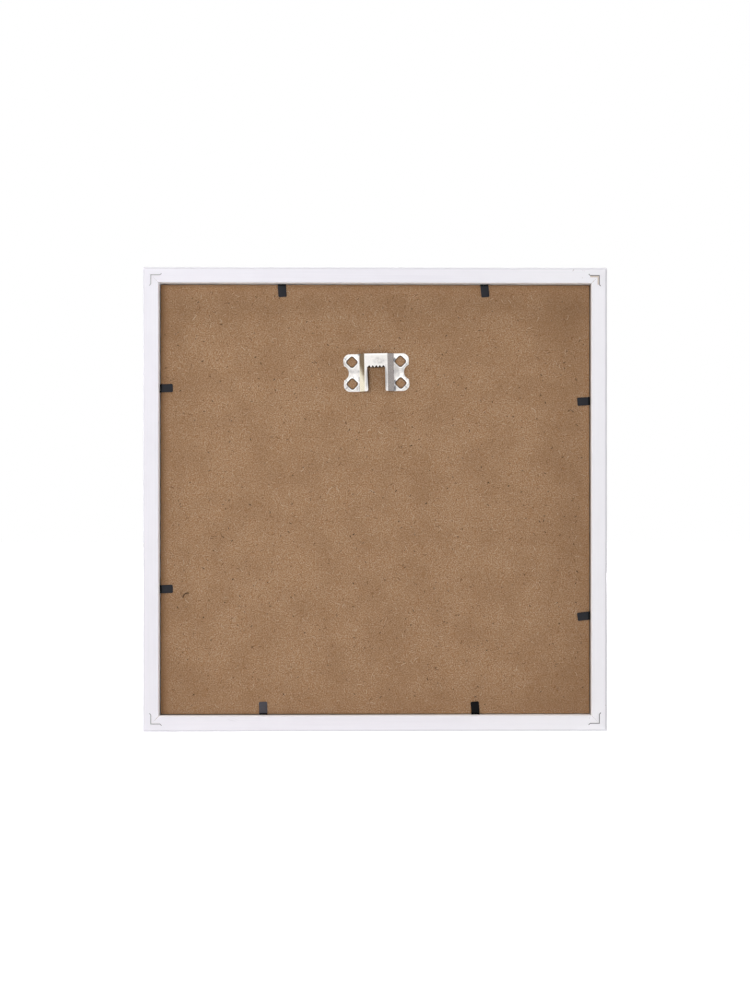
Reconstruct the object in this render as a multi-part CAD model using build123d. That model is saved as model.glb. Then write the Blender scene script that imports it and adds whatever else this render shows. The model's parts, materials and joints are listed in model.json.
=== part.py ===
"""Square white picture frame for a baby's handprints, hung by a sawtooth hanger.

Four mitred rails, pinned at their corners, hold a glass, a window mat, the print card and a hardboard
back board in a rabbet. Flat steel tabs shot into the rails keep the board in, and bend up to let it
out. A stamped hanger, clinched into the board by its own prongs, takes the nail in the wall.

Sizes are millimetres. +Z is up, the front looks along -Y, and the backs of the rails lie on the wall,
the plane y = 0. The origin is on that plane, midway across the frame and at the height where the nail
bears in the hanger. Left and right are as seen from the front.
"""

import os

from build123d import *

# Rails
FRAME_WIDTH = 312.0  # outside, across
FRAME_HEIGHT = 312.0  # outside, up
RAIL_DEPTH = 18.0  # front face to back face
RAIL_WALL = 10.3  # outer face to the wall of the rabbet
LIP_REACH = 4.7  # how far the lip comes in over the glass
LIP_THICKNESS = 4.5
FRONT_ROUND = 1.0  # radius of both front edges
BACK_ROUND = 0.8  # radius of the outer back edge
RABBET_ROUND = 0.3  # radius of the back edge beside the rabbet
MITRE_OPENING = 0.12  # gap at the inner end of each corner joint, which closes at the outer end

# Sheets in the rabbet, from the front
GLASS_THICKNESS = 2.0
MAT_THICKNESS = 1.4
CARD_THICKNESS = 0.4
BOARD_THICKNESS = 3.0
SHEET_GAP = 0.8  # glass, mat and card to the wall of the rabbet
BOARD_GAP = 0.5  # back board to the wall of the rabbet
BOARD_EASING = 0.4  # chamfer round the back of the board
MAT_BORDER = 46.0  # outer edge of the mat to its window, at the back of the mat
MAT_BEVEL = 45.0  # degrees, slope of the window's cut edge

# V-nails, one across each mitre
NAIL_INSET = 5.2  # outer faces of the frame to the point of the V
NAIL_LEG = 6.2  # length of each leg
NAIL_FLARE = 1.0  # how far each leg's turned-out end reaches, along and across the leg
NAIL_THICKNESS = 0.55
NAIL_HEIGHT = 10.0
NAIL_SUNK = 0.4  # below the back of the rail

# Tabs that hold the back board in
TAB_WIDTH = 5.6
TAB_THICKNESS = 0.4
TAB_REACH = 8.8  # wall of the rabbet to the tip
TAB_DRIVEN = 7.0  # wall of the rabbet to the driven point
TAB_POINT = 2.0  # length of the driven point's taper
TAB_TIP_ROUND = 0.9  # radius of the tip's corners
TAB_BEND = 0.8  # wall of the rabbet to the bend line
TAB_BEND_GAP = 0.05  # between the two halves at the bend
TAB_SEAT_GAP = 0.05  # back board to the tab

# Each tab: its rail, its place along that rail from the middle, going clockwise as seen from the front,
# and how many degrees it was shot in askew
TABS = {
    "tab_top_right": ("top", 63.25, 2.9),
    "tab_top_left": ("top", -73.75, 5.7),
    "tab_right_lower": ("right", 60.8, 2.4),
    "tab_right_upper": ("right", -75.0, 2.2),
    "tab_bottom_left": ("bottom", 67.9, 4.3),
    "tab_bottom_right": ("bottom", -75.75, 1.6),
    "tab_left_upper": ("left", 66.75, 4.0),
    "tab_left_lower": ("left", -78.65, 6.8),
}

# Sawtooth hanger
HANG_DROP = 65.6  # top of the frame to the nail
HANGER_SHIFT = -0.6  # to the right, from the middle of the frame, as fitted
HANGER_TILT = 1.2  # degrees out of level, as fitted
HANGER_HEIGHT = 25.4
METAL = 0.8  # thickness of the stamped steel
BRIDGE_WIDTH = 14.8  # flat of the raised bridge
BRIDGE_RISE = 3.0  # back board to the underside of the bridge
RISER_RUN = 4.4  # width of the slope on each side of the bridge
EAR_WIDTH = 10.4  # foot of the slope to the end of the hanger
EAR_ROUND = 3.7  # radius of the ears' corners
FOLD_RADIUS = 1.0  # inside the folds
SCALLOP_DEPTH = 3.6  # bite in the end of each ear
SCALLOP_RADIUS = 4.4
LEG_WIDTH = 1.45  # flat of the bridge beside the nail opening
LEG_ROUND = 1.2  # radius of the legs' inner corners
BAR_HEIGHT = 8.1  # top of the hanger to the notches
TOOTH_COUNT = 5  # notches that the nail can sit in
TOOTH_DEPTH = 1.25
HOLE_END = 5.8  # end of the hanger to the middle of a pierced hole
HOLE_SIDE = 5.35  # top or bottom of the hanger to the middle of a pierced hole
HOLE_SQUARE = 5.8  # side of the pierced square, which stands on its corner
HOLE_ROUND = 1.45  # radius of its corners
HOLE_LIP = 0.4  # drawn-in edge round the hole
PRONG_BASE = 2.8  # width of each prong at the fold
PRONG_COVER = 0.5  # board left in front of the prongs' points

# Levels of the sheets, front to back
FRONT = -RAIL_DEPTH
GLASS_FRONT = FRONT + LIP_THICKNESS
MAT_FRONT = GLASS_FRONT + GLASS_THICKNESS
CARD_FRONT = MAT_FRONT + MAT_THICKNESS
BOARD_FRONT = CARD_FRONT + CARD_THICKNESS
BOARD_BACK = BOARD_FRONT + BOARD_THICKNESS
TAB_LEVEL = BOARD_BACK + TAB_SEAT_GAP + TAB_THICKNESS / 2

# Sizes that follow from the others
RAIL_FACE = RAIL_WALL + LIP_REACH
RABBET_WIDTH = FRAME_WIDTH - 2 * RAIL_WALL
RABBET_HEIGHT = FRAME_HEIGHT - 2 * RAIL_WALL
HANGER_WIDTH = BRIDGE_WIDTH + 2 * (RISER_RUN + EAR_WIDTH)
NOTCH_WIDTH = BRIDGE_WIDTH - 2 * LEG_WIDTH
NOTCH_TOP = HANGER_HEIGHT / 2 - BAR_HEIGHT
PRONG_LENGTH = BOARD_THICKNESS - PRONG_COVER

# Places
CENTRE = Pos(0, 0, HANG_DROP - FRAME_HEIGHT / 2)
HANGER_PLACE = Pos(HANGER_SHIFT, BOARD_BACK, 0) * Rot(0, HANGER_TILT, 0) * Pos(0, 0, -NOTCH_TOP)

# Each rail: its length, and its outer face's place
RAILS = {
    "top": (FRAME_WIDTH, CENTRE * Pos(0, 0, FRAME_HEIGHT / 2)),
    "right": (FRAME_HEIGHT, CENTRE * Rot(0, 90, 0) * Pos(0, 0, FRAME_WIDTH / 2)),
    "bottom": (FRAME_WIDTH, CENTRE * Rot(0, 180, 0) * Pos(0, 0, FRAME_HEIGHT / 2)),
    "left": (FRAME_HEIGHT, CENTRE * Rot(0, 270, 0) * Pos(0, 0, FRAME_WIDTH / 2)),
}


def rail(length):
    """A mitred rail along X, with its outer face up at z = 0 and its back at y = 0."""
    outline = FilletPolyline(
        (0, 0),
        (FRONT, 0),
        (FRONT, -RAIL_FACE),
        (GLASS_FRONT, -RAIL_FACE),
        (GLASS_FRONT, -RAIL_WALL),
        (0, -RAIL_WALL),
        radius=(BACK_ROUND, FRONT_ROUND, FRONT_ROUND, 0, 0, RABBET_ROUND),
        close=True,
    )
    bar = extrude(Plane.YZ * make_face(outline), amount=length / 2, both=True)
    outer_end = length / 2
    inner_end = outer_end - RAIL_FACE - MITRE_OPENING / 2
    mitre = Polygon(
        (-inner_end, -RAIL_FACE),
        (inner_end, -RAIL_FACE),
        (outer_end, 0),
        (-outer_end, 0),
        align=None,
    )
    return bar & extrude(Plane.XZ * mitre, amount=RAIL_DEPTH)


def corner_places():
    """Where the point of each V-nail is, turned so that its legs run along the two rails."""
    across = FRAME_WIDTH / 2 - NAIL_INSET
    up = FRAME_HEIGHT / 2 - NAIL_INSET
    corners = ((across, up), (across, -up), (-across, -up), (-across, up))
    return [CENTRE * Pos(x, 0, z) * Rot(0, 90 * turn, 0) for turn, (x, z) in enumerate(corners)]


def v_nail(top, bottom):
    """A V-nail between two depths below the back of the rails, with its point at x = z = 0."""
    spine = Polyline(
        (-NAIL_LEG - NAIL_FLARE, NAIL_FLARE),
        (-NAIL_LEG, 0),
        (0, 0),
        (0, -NAIL_LEG),
        (NAIL_FLARE, -NAIL_LEG - NAIL_FLARE),
    )
    strip = trace(spine, NAIL_THICKNESS)
    return Pos(0, -top, 0) * extrude(Plane.XZ * strip, amount=bottom - top, dir=(0, -1, 0))


def sheet(gap, front, thickness):
    """A flat sheet that fills the rabbet but for a gap all round."""
    slab = Box(RABBET_WIDTH - 2 * gap, thickness, RABBET_HEIGHT - 2 * gap)
    return CENTRE * Pos(0, front + thickness / 2, 0) * slab


def window_mat():
    """The mat: a sheet with a window, cut on a slope that faces the front."""
    width = RABBET_WIDTH - 2 * (SHEET_GAP + MAT_BORDER)
    height = RABBET_HEIGHT - 2 * (SHEET_GAP + MAT_BORDER)
    opening = extrude(Plane.XZ * Rectangle(width, height), amount=MAT_THICKNESS, taper=-MAT_BEVEL)
    return sheet(SHEET_GAP, MAT_FRONT, MAT_THICKNESS) - CENTRE * Pos(0, CARD_FRONT, 0) * opening


def tab_place(rail_name, along, askew):
    """The middle of a tab's bend line, with the tab's tip towards local -Z and the wall towards +Z."""
    at_wall = RAILS[rail_name][1] * Pos(along, TAB_LEVEL, -RAIL_WALL)
    return at_wall * Rot(0, askew, 0) * Pos(0, 0, -TAB_BEND)


def tab_root():
    """The half of a tab that is driven into the rail, with a round nose on the bend line."""
    half = TAB_WIDTH / 2
    point = TAB_BEND + TAB_DRIVEN
    shoulder = point - TAB_POINT
    outline = Polygon((-half, 0), (half, 0), (half, shoulder), (0, point), (-half, shoulder), align=None)
    plate = extrude(Plane.XZ * outline, amount=TAB_THICKNESS / 2, both=True)
    return plate + Rot(0, 90, 0) * Cylinder(TAB_THICKNESS / 2, TAB_WIDTH)


def tab_blade():
    """The half of a tab that lies on the back board and bends."""
    half = TAB_WIDTH / 2
    start = -TAB_THICKNESS / 2 - TAB_BEND_GAP
    tip = TAB_BEND - TAB_REACH
    outline = FilletPolyline(
        (-half, start),
        (half, start),
        (half, tip),
        (-half, tip),
        radius=(0, 0, TAB_TIP_ROUND, TAB_TIP_ROUND),
        close=True,
    )
    return extrude(Plane.XZ * make_face(outline), amount=TAB_THICKNESS / 2, both=True)


def hanger_sheet():
    """The hanger's steel, folded up into a bridge between two ears that lie at y = 0."""
    foot = BRIDGE_WIDTH / 2 + RISER_RUN
    underside = FilletPolyline(
        (-HANGER_WIDTH / 2, 0),
        (-foot, 0),
        (-BRIDGE_WIDTH / 2, BRIDGE_RISE),
        (BRIDGE_WIDTH / 2, BRIDGE_RISE),
        (foot, 0),
        (HANGER_WIDTH / 2, 0),
        radius=FOLD_RADIUS,
    )
    profile = make_face(offset(underside, amount=METAL, side=Side.LEFT))
    return extrude(profile, amount=HANGER_HEIGHT / 2, both=True)


def nail_opening():
    """The opening under the bar of the hanger, whose top edge is the row of notches."""
    left = -NOTCH_WIDTH / 2
    pitch = NOTCH_WIDTH / TOOTH_COUNT
    tips = NOTCH_TOP - TOOTH_DEPTH
    below = -HANGER_HEIGHT
    points = [(left, below), (left, tips)]
    for tooth in range(TOOTH_COUNT):
        points.append((left + (tooth + 0.5) * pitch, NOTCH_TOP))
        points.append((left + (tooth + 1) * pitch, tips))
    points.append((-left, below))
    return Polygon(*points, align=None)


def hanger_blank():
    """The hanger's outline seen from the back, with its scalloped ends and its nail opening."""
    outline = RectangleRounded(HANGER_WIDTH, HANGER_HEIGHT, EAR_ROUND)
    bite = HANGER_WIDTH / 2 + SCALLOP_RADIUS - SCALLOP_DEPTH
    outline -= [Pos(side * bite, 0) * Circle(SCALLOP_RADIUS) for side in (-1, 1)]
    outline -= nail_opening()
    leg_corners = [
        corner
        for corner in outline.vertices().group_by(Axis.Y)[0]
        if abs(corner.X) < BRIDGE_WIDTH / 2
    ]
    return fillet(leg_corners, LEG_ROUND)


def pierced_hole():
    """What is punched out of an ear: a square on its corner, with a drawn-in edge at the back."""
    square = Rot(0, 0, 45) * RectangleRounded(HOLE_SQUARE, HOLE_SQUARE, HOLE_ROUND)
    wide = HOLE_SQUARE + 2 * HOLE_LIP
    mouth = Rot(0, 0, 45) * RectangleRounded(wide, wide, HOLE_ROUND + HOLE_LIP)
    through = extrude(Plane.XZ * square, amount=-METAL)
    lip = loft([Plane.XZ.offset(HOLE_LIP - METAL) * square, Plane.XZ.offset(-METAL) * mouth])
    return through + lip


def prongs():
    """The four triangles folded down from the sides of a pierced hole."""
    side = Polygon((-PRONG_BASE / 2, 0), (0, -PRONG_LENGTH), (PRONG_BASE / 2, 0), align=None)
    prong = Pos(0, 0, HOLE_SQUARE / 2) * extrude(side, amount=METAL)
    return [Rot(0, 45 + 90 * turn, 0) * prong for turn in range(4)]


def hole_places():
    """The middles of the four pierced holes, on the hanger's own place."""
    across = HANGER_WIDTH / 2 - HOLE_END
    up = HANGER_HEIGHT / 2 - HOLE_SIDE
    return [HANGER_PLACE * Pos(x, 0, z) for x in (-across, across) for z in (-up, up)]


def sawtooth_hanger(all_prongs):
    """The hanger: the folded sheet cut to its outline and pierced, with its prongs."""
    height = BRIDGE_RISE + METAL
    body = hanger_sheet() & extrude(Plane.XZ * hanger_blank(), amount=-height)
    body = HANGER_PLACE * body
    body -= [place * pierced_hole() for place in hole_places()]
    return body + all_prongs


def back_board(all_prongs):
    """The hardboard back, eased round its back edge, with the slits that the prongs made."""
    board = sheet(BOARD_GAP, BOARD_FRONT, BOARD_THICKNESS)
    board = chamfer(board.faces().sort_by(Axis.Y)[-1].edges(), BOARD_EASING)
    return board - all_prongs


def build():
    """Every node of the frame by name."""
    all_prongs = [place * prong for place in hole_places() for prong in prongs()]
    nail_slots = [place * v_nail(0, NAIL_SUNK + NAIL_HEIGHT) for place in corner_places()]
    nails = [place * v_nail(NAIL_SUNK, NAIL_SUNK + NAIL_HEIGHT) for place in corner_places()]
    tab_places = {name: tab_place(*shot) for name, shot in TABS.items()}
    roots = {name: place * tab_root() for name, place in tab_places.items()}

    nodes = {}
    for name, (length, place) in RAILS.items():
        own_roots = [root for tab, root in roots.items() if TABS[tab][0] == name]
        nodes[f"rail_{name}"] = place * rail(length) - nail_slots - own_roots
    nodes["corner_v_nails"] = Compound([nail.solid() for nail in nails])
    nodes["glazing"] = sheet(SHEET_GAP, GLASS_FRONT, GLASS_THICKNESS)
    nodes["mat"] = window_mat()
    nodes["print_card"] = sheet(SHEET_GAP, CARD_FRONT, CARD_THICKNESS)
    nodes["back_board"] = back_board(all_prongs)
    nodes["sawtooth_hanger"] = sawtooth_hanger(all_prongs)
    for name, place in tab_places.items():
        nodes[f"{name}_root"] = roots[name]
        nodes[f"{name}_blade"] = place * tab_blade()
    return nodes


os.makedirs("parts", exist_ok=True)
for node, shape in build().items():
    export_step(shape, f"parts/{node}.step")
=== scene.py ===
"""Dressed scene of a square white frame for a baby's handprints, seen from its back.

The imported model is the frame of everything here: metres, +Z up, the front along -Y and the backs of the
rails on the plane y = 0. Left and right are as seen from the front.
"""

from __future__ import annotations

import json
import logging
import math
import random
from dataclasses import dataclass, field
from enum import Enum

import bmesh
import bpy
from mathutils import Matrix, Vector


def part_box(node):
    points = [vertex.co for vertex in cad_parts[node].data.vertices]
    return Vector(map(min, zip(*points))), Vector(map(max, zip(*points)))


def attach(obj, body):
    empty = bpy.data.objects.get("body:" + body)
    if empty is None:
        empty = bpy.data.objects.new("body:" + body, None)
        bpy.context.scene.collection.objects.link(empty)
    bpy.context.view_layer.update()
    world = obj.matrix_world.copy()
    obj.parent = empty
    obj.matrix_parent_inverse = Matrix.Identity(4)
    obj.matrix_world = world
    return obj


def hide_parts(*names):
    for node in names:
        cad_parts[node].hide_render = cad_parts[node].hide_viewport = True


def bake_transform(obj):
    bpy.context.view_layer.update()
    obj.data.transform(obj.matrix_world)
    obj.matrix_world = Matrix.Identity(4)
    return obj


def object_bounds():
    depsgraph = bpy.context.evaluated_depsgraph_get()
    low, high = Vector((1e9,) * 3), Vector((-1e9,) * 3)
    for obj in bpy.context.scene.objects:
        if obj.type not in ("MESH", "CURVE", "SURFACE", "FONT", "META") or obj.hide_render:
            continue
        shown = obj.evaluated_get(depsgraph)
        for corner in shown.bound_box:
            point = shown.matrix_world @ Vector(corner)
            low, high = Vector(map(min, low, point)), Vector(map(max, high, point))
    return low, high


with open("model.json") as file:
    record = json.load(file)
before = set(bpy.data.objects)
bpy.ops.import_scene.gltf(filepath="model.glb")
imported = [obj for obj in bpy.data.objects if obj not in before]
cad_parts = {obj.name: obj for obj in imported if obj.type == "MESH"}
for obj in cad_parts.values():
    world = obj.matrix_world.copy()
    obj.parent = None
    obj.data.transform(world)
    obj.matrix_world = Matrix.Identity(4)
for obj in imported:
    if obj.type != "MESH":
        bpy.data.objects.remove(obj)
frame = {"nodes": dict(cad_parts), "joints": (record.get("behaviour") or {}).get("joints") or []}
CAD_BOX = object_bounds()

LOG = logging.getLogger("handprint_frame")
MM = 0.001
FLAT = 1000.0  # a pattern this long never changes along that axis
DIRECT = 0.5  # a ray's diffuse depth stays below this until it has left a matt surface

Colour = tuple[float, float, float]
Point = tuple[float, float, float]
Pair = tuple[float, float]
Socket = bpy.types.NodeSocket
Value = float | Socket
WHITE: Colour = (1.0, 1.0, 1.0)


class Run(Enum):
    """Which way a rail runs."""

    ACROSS = "across"
    UPRIGHT = "upright"


class Wear(Enum):
    """Lit and shaded copies of the tabs' black lacquer, painted light and shade for how each tab faces the
    lamps: base colour, shine and roughness.
    """

    CHARCOAL = ((0.010, 0.0105, 0.0135), 0.22, 0.42)
    GREYED = ((0.034, 0.031, 0.037), 0.42, 0.5)
    JET = ((0.0025, 0.0025, 0.003), 0.08, 0.35)


class Strand(Enum):
    """The kinds of loose fibre on the back board, by colour."""

    PALE = (0.59, 0.445, 0.305)
    BROWN = (0.19, 0.088, 0.036)
    DARK = (0.092, 0.050, 0.028)


@dataclass(frozen=True)
class Layout:
    """Where the rails, the board and the sheets lie, measured from the middle of the frame."""

    middle: float = (CAD_BOX[0].z + CAD_BOX[1].z) / 2
    outer: float = (CAD_BOX[1].x - CAD_BOX[0].x) / 2
    back_of_board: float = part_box("back_board")[1].y
    board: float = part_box("back_board")[1].x
    depth: float = CAD_BOX[1].y - CAD_BOX[0].y
    wall: float = 10.3 * MM  # outer face of a rail to the wall of its rabbet
    face: float = 15.0 * MM  # outer face to the edge of the lip
    lip: float = 4.5 * MM  # thickness of the lip
    window: float = 100.3 * MM  # middle to the mat's window, at the front of the mat


LAYOUT = Layout()


class Nodes:
    """A node tree, with a short call for each kind of node that the finishes and the room share."""

    def __init__(self, tree: bpy.types.NodeTree) -> None:
        """Takes the tree that the nodes go into."""
        self.tree = tree

    def add(self, kind: str, **settings: object) -> bpy.types.Node:
        """Adds a node.

        Args:
            kind: Blender's name of the node type.
            **settings: Properties to set on it.

        Returns:
            The new node.
        """
        node = self.tree.nodes.new(kind)
        for key, value in settings.items():
            setattr(node, key, value)
        return node

    def feed(self, socket: Socket, value: object) -> None:
        """Links another node's output to a socket, or sets the socket to a number or colour.

        Args:
            socket: The input to fill.
            value: An output socket, a number, a colour or a vector.
        """
        if isinstance(value, bpy.types.NodeSocket):
            self.tree.links.new(value, socket)
        elif isinstance(value, tuple) and socket.type == "RGBA":
            socket.default_value = (*value, 1.0)
        else:
            socket.default_value = value

    def node(self, kind: str, *values: object, **settings: object) -> Socket:
        """Adds a node and fills its inputs in order.

        Args:
            kind: Blender's name of the node type.
            *values: What the inputs take.
            **settings: Properties to set on the node.

        Returns:
            The node's first output.
        """
        node = self.add(kind, **settings)
        for socket, value in zip(node.inputs, values):
            self.feed(socket, value)
        return node.outputs[0]

    def split(self, vector: Socket) -> list[Socket]:
        """The three parts of a vector."""
        node = self.add("ShaderNodeSeparateXYZ")
        self.feed(node.inputs[0], vector)
        return list(node.outputs)

    def math(self, operation: str, *values: Value) -> Socket:
        """One step of arithmetic, by Blender's name of it, on numbers or sockets."""
        return self.node("ShaderNodeMath", *values, operation=operation)

    def size(self, value: Value) -> Socket:
        """A value without its sign."""
        return self.math("ABSOLUTE", value)

    def total(self, first: Value, second: Value) -> Socket:
        """Two values added."""
        return self.math("ADD", first, second)

    def less(self, first: Value, second: Value) -> Socket:
        """The first value less the second."""
        return self.math("SUBTRACT", first, second)

    def scaled(self, value: Value, by: Value, plus: Value) -> Socket:
        """A value multiplied by a second, and a third added."""
        return self.math("MULTIPLY_ADD", value, by, plus)

    def most(self, first: Socket, *others: Value) -> Socket:
        """The largest of several values."""
        for other in others:
            first = self.math("MAXIMUM", first, other)
        return first

    def product(self, first: Value, *others: Value) -> Socket:
        """Several values multiplied."""
        for other in others:
            first = self.math("MULTIPLY", first, other)
        return first

    def above(self, value: Socket, limit: float) -> Socket:
        """One where a value is above a limit, and nought elsewhere."""
        return self.math("GREATER_THAN", value, limit)

    def below(self, value: Socket, limit: float) -> Socket:
        """One where a value is below a limit, and nought elsewhere."""
        return self.math("LESS_THAN", value, limit)

    def between(self, value: Socket, low: float, high: float) -> Socket:
        """One where a value lies between two numbers, and nought elsewhere."""
        return self.product(self.above(value, low), self.below(value, high))

    def span(self, value: Socket, low: float, high: float, first: float = 0.0, last: float = 1.0) -> Socket:
        """A smooth step from one number to another.

        Args:
            value: What the step follows.
            low: Where it begins.
            high: Where it ends, which may be below low.
            first: The number at low.
            last: The number at high.

        Returns:
            The stepped value.
        """
        numbers = (value, low, high, first, last)
        return self.node("ShaderNodeMapRange", *numbers, interpolation_type="SMOOTHSTEP")

    def band(self, value: Socket, rise: Pair, fall: Pair, most: float = 1.0) -> Socket:
        """A smooth rise from nought and a smooth fall back to it.

        Args:
            value: What the band follows.
            rise: Where the rise begins and ends.
            fall: Where the fall begins and ends.
            most: The number between them.

        Returns:
            The banded value.
        """
        return self.product(self.span(value, *rise), self.span(value, *fall, most, 0.0))

    def mix(self, share: Value, first: object, second: object, kind: str = "MIX") -> Socket:
        """Two colours mixed.

        Args:
            share: How much of the second colour shows.
            first: The first colour.
            second: The second colour.
            kind: Blender's name of the way they are mixed.

        Returns:
            The mixed colour.
        """
        node = self.add("ShaderNodeMix", data_type="RGBA", blend_type=kind)
        colours = [socket for socket in node.inputs if socket.type == "RGBA"]
        self.feed(node.inputs[0], share)
        self.feed(colours[0], first)
        self.feed(colours[1], second)
        return next(socket for socket in node.outputs if socket.type == "RGBA")

    def layers(self, colour: object, *coats: tuple[Value, object]) -> Socket:
        """A colour with others laid over it, each given by its share and itself."""
        for share, coat in coats:
            colour = self.mix(share, colour, coat)
        return colour

    def switch(self, share: Socket, first: Socket, second: Socket) -> Socket:
        """A shader that gives way to a second one by a share."""
        return self.node("ShaderNodeMixShader", share, first, second)

    def length(self, vector: Socket) -> Socket:
        """How long a vector is."""
        node = self.add("ShaderNodeVectorMath", operation="LENGTH")
        self.feed(node.inputs[0], vector)
        return node.outputs["Value"]

    def pattern(self, vector: Socket, size: Point, turn: float = 0.0, place: Point = (0, 0, 0)) -> Socket:
        """Coordinates of a pattern that lies on the frame's plane.

        Args:
            vector: The coordinates to start from.
            size: How long one step of the pattern is along its own axes.
            turn: Degrees that it is turned about Y.
            place: Its middle.

        Returns:
            The pattern's coordinates.
        """
        rotation = (0.0, math.radians(turn), 0.0)
        return self.node("ShaderNodeMapping", vector, place, rotation, size, vector_type="TEXTURE")

    def noise(self, vector: Socket, size: float = 1.0, detail: float = 2.0, rough: float = 0.5,
              bend: float = 0.0) -> Socket:
        """Cloudy noise from nought to one.

        Args:
            vector: The coordinates that it follows.
            size: How long its clouds are.
            detail: How many finer layers it has.
            rough: How strong the finer layers are.
            bend: How far it is warped.

        Returns:
            The noise.
        """
        node = self.add("ShaderNodeTexNoise")
        inputs = {
            "Vector": vector, "Scale": 1.0 / size, "Detail": detail, "Roughness": rough, "Distortion": bend,
        }
        for name, value in inputs.items():
            self.feed(node.inputs[name], value)
        return node.outputs[0]

    def cells(self, vector: Socket, size: float) -> tuple[Socket, Socket]:
        """Scattered points.

        Args:
            vector: The coordinates that they follow.
            size: How far apart they are.

        Returns:
            The distance to the nearest point, in steps of size, and a number of that point's own.
        """
        node = self.add("ShaderNodeTexVoronoi")
        self.feed(node.inputs["Vector"], vector)
        self.feed(node.inputs["Scale"], 1.0 / size)
        return node.outputs["Distance"], self.node("ShaderNodeSeparateColor", node.outputs["Color"])

    def reach(self, vector: Socket, size: Pair, place: Pair, turn: float = 0.0) -> Socket:
        """How far out a point is in an oval on the frame's plane, where one is its rim.

        Args:
            vector: The coordinates of the point.
            size: Half the oval's length and half its width.
            place: Its middle, across and up.
            turn: Degrees that it is turned about Y.

        Returns:
            The distance.
        """
        return self.length(self.pattern(vector, (size[0], FLAT, size[1]), turn, (place[0], 0.0, place[1])))


class Graph(Nodes):
    """A material's nodes round one main shader, and where a point of the surface is.

    Attributes:
        place: The point in the frame's own coordinates.
        x: How far across it is.
        y: How deep it is, nought on the backs of the rails.
        up: How far above the frame's middle it is.
        out: How far it is from the frame's middle, across or up, whichever is more.
        inset: How far it is inside the outer faces of the rails.
    """

    def __init__(self, name: str) -> None:
        """Starts a material.

        Args:
            name: The material's name.
        """
        self.material = bpy.data.materials.new(name)
        self.material.use_nodes = True
        super().__init__(self.material.node_tree)
        self.shader = next(n for n in self.tree.nodes if n.type == "BSDF_PRINCIPLED")
        self.output = next(n for n in self.tree.nodes if n.type == "OUTPUT_MATERIAL")
        self.place = self.add("ShaderNodeTexCoord").outputs["Object"]
        self.x, self.y, z = self.split(self.place)
        self.up = self.less(z, LAYOUT.middle)
        self.out = self.most(self.size(self.x), self.size(self.up))
        self.inset = self.less(LAYOUT.outer, self.out)

    def set(self, **inputs: object) -> None:
        """Fills inputs of the main shader, named with underscores for spaces."""
        for name, value in inputs.items():
            self.feed(self.shader.inputs[name.replace("_", " ")], value)

    def swap(self, share: Socket, shader: Socket) -> None:
        """Lets another shader take the main one's place by a share."""
        both = self.switch(share, self.shader.outputs[0], shader)
        self.feed(self.output.inputs["Surface"], both)

    def relief(self, height: Socket, depth: float, strength: float = 1.0) -> None:
        """Lets a height raise the surface.

        Args:
            height: From nought to one.
            depth: How high one is, in metres.
            strength: How much of that shows.
        """
        node = self.add("ShaderNodeBump")
        self.feed(node.inputs["Height"], height)
        self.feed(node.inputs["Distance"], depth)
        self.feed(node.inputs["Strength"], strength)
        self.feed(self.shader.inputs["Normal"], node.outputs[0])


@dataclass(frozen=True)
class Mark:
    """A small mark, in millimetres from the middle of the frame or of the hanger, or from the nail."""

    across: float
    up: float
    length: float
    width: float
    turn: float
    depth: float


RAIL_MARKS = (
    Mark(-133.3, 154.4, 2.2, 0.5, 62.0, 0.55),
    Mark(-139.6, 154.0, 0.9, 0.5, 20.0, 0.35),
    Mark(-140.8, 153.8, 0.7, 0.5, 70.0, 0.3),
    Mark(-139.4, 149.2, 1.0, 0.6, 80.0, 0.3),
    Mark(-144.1, -147.2, 0.8, 0.5, 30.0, 0.45),
    Mark(-155.0, -138.6, 0.7, 0.6, 10.0, 0.6),
    Mark(96.5, -148.4, 7.0, 0.4, -14.0, 0.16),
    Mark(94.0, -147.6, 5.0, 0.35, -22.0, 0.14),
)

BOARD_FLECKS = (
    Mark(12.5, 40.6, 1.0, 1.0, 0.0, 1.0),
    Mark(11.1, 45.2, 1.9, 0.8, 30.0, 0.6),
    Mark(30.7, 42.2, 1.0, 0.8, 0.0, 0.5),
    Mark(105.0, 79.7, 1.5, 0.9, 80.0, 0.85),
    Mark(81.9, 112.4, 1.0, 0.9, 0.0, 0.75),
    Mark(123.7, 135.9, 1.1, 0.9, 40.0, 0.65),
    Mark(100.2, 89.5, 1.7, 0.7, 55.0, 0.6),
    Mark(116.8, -46.1, 1.2, 0.9, 0.0, 0.7),
    Mark(116.3, -79.8, 1.5, 0.9, 50.0, 0.85),
    Mark(112.4, -68.5, 1.3, 0.8, 80.0, 0.65),
    Mark(-134.0, 59.7, 2.0, 0.8, -40.0, 0.85),
)

# Painted shadows of the hanger on the board: under the bridge, seen between the teeth, and along the inner
# edge of the right leg.
NAIL_RUBS = (
    Mark(-0.7, -0.1, 17.0, 1.9, 1.2, 0.95),
    Mark(4.8, -8.0, 13.5, 1.3, 91.2, 0.5),
)

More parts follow.
